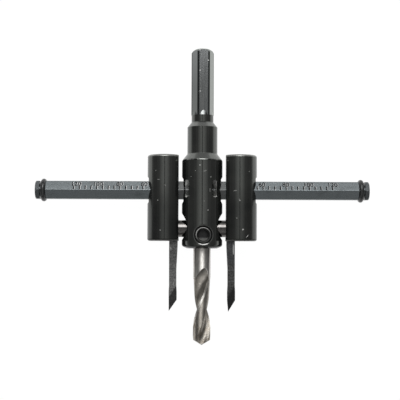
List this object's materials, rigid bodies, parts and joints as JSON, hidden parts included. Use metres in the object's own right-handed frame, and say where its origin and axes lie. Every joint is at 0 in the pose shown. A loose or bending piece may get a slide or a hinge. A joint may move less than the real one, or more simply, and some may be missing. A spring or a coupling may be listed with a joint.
{
  "type": "drywall circle cutter",
  "caption": "Adjustable circle cutter for a drill: turned body with hexagonal shank and pilot drill, scaled hexagonal cross bar, and sliding holders with clamped blades.",
  "frame": {"origin": "on the surface the tool lies on, under the middle of its outline", "axes": "+X along the cross bar to the right, +Y up the tool's axis to the shank, +Z from the surface to the front"},
  "size_m": [0.1448, 0.129, 0.0177],
  "materials": {
    "body_black": "glossy black oxide",
    "holder_black": "glossy black oxide",
    "bar_steel": "satin grey",
    "ring_rubber": "matt black",
    "blade_steel": "dark ground steel",
    "screw_zinc": "bright zinc",
    "screw_black": "black oxide",
    "drill_steel": "bright ground steel"
  },
  "bodies": {
    "body": {"main_body": "body_black", "cross_bar": "bar_steel", "left_end_ring": "ring_rubber", "right_end_ring": "ring_rubber"},
    "left_holder": {"left_holder": "holder_black"},
    "right_holder": {"right_holder": "holder_black"},
    "left_blade": {"left_blade": "blade_steel"},
    "right_blade": {"right_blade": "blade_steel"},
    "left_blade_screw": {"left_blade_screw": "screw_zinc"},
    "right_blade_screw": {"right_blade_screw": "screw_zinc"},
    "left_lock_screw": {"left_lock_screw": "screw_black"},
    "right_lock_screw": {"right_lock_screw": "screw_black"},
    "bar_lock_screw": {"bar_lock_screw": "screw_black"},
    "pilot_screw": {"pilot_screw": "screw_black"},
    "pilot_drill": {"pilot_drill": "drill_steel"}
  },
  "joints": [
    {"name": "left_holder_slide", "type": "slide", "parent": "body", "child": "left_holder", "axis": [-1, 0, 0], "range_m": [-0.0003, 0.0446]},
    {"name": "right_holder_slide", "type": "slide", "parent": "body", "child": "right_holder", "axis": [1, 0, 0], "range_m": [-0.0003, 0.0446]},
    {"name": "left_blade_slide", "type": "slide", "parent": "left_holder", "child": "left_blade", "axis": [0, -1, 0], "range_m": [0, 0.0035]},
    {"name": "right_blade_slide", "type": "slide", "parent": "right_holder", "child": "right_blade", "axis": [0, -1, 0], "range_m": [0, 0.0035]},
    {"name": "left_blade_screw_turn", "type": "hinge", "parent": "left_holder", "child": "left_blade_screw", "pos_m": [-0.0071, -0.01422, 0.00885], "axis": [1, 0, 0], "range_deg": [0, 360]},
    {"name": "right_blade_screw_turn", "type": "hinge", "parent": "right_holder", "child": "right_blade_screw", "pos_m": [0.0071, -0.01422, 0.00885], "axis": [-1, 0, 0], "range_deg": [0, 360]},
    {"name": "left_lock_screw_turn", "type": "hinge", "parent": "left_holder", "child": "left_lock_screw", "pos_m": [-0.01635, 0.00237, 0.002], "axis": [0, 0, -1], "range_deg": [0, 360]},
    {"name": "right_lock_screw_turn", "type": "hinge", "parent": "right_holder", "child": "right_lock_screw", "pos_m": [0.01635, 0.00237, 0.002], "axis": [0, 0, -1], "range_deg": [0, 360]},
    {"name": "bar_lock_screw_turn", "type": "hinge", "parent": "body", "child": "bar_lock_screw", "pos_m": [0, 0.00237, 0.002], "axis": [0, 0, -1], "range_deg": [0, 360]},
    {"name": "pilot_screw_turn", "type": "hinge", "parent": "body", "child": "pilot_screw", "pos_m": [0.00043, -0.01702, 0.01503], "axis": [0.0698, 0, 0.9976], "range_deg": [0, 360]},
    {"name": "pilot_drill_slide", "type": "slide", "parent": "body", "child": "pilot_drill", "axis": [0, -1, 0], "range_m": [0, 0.008]}
  ]
}
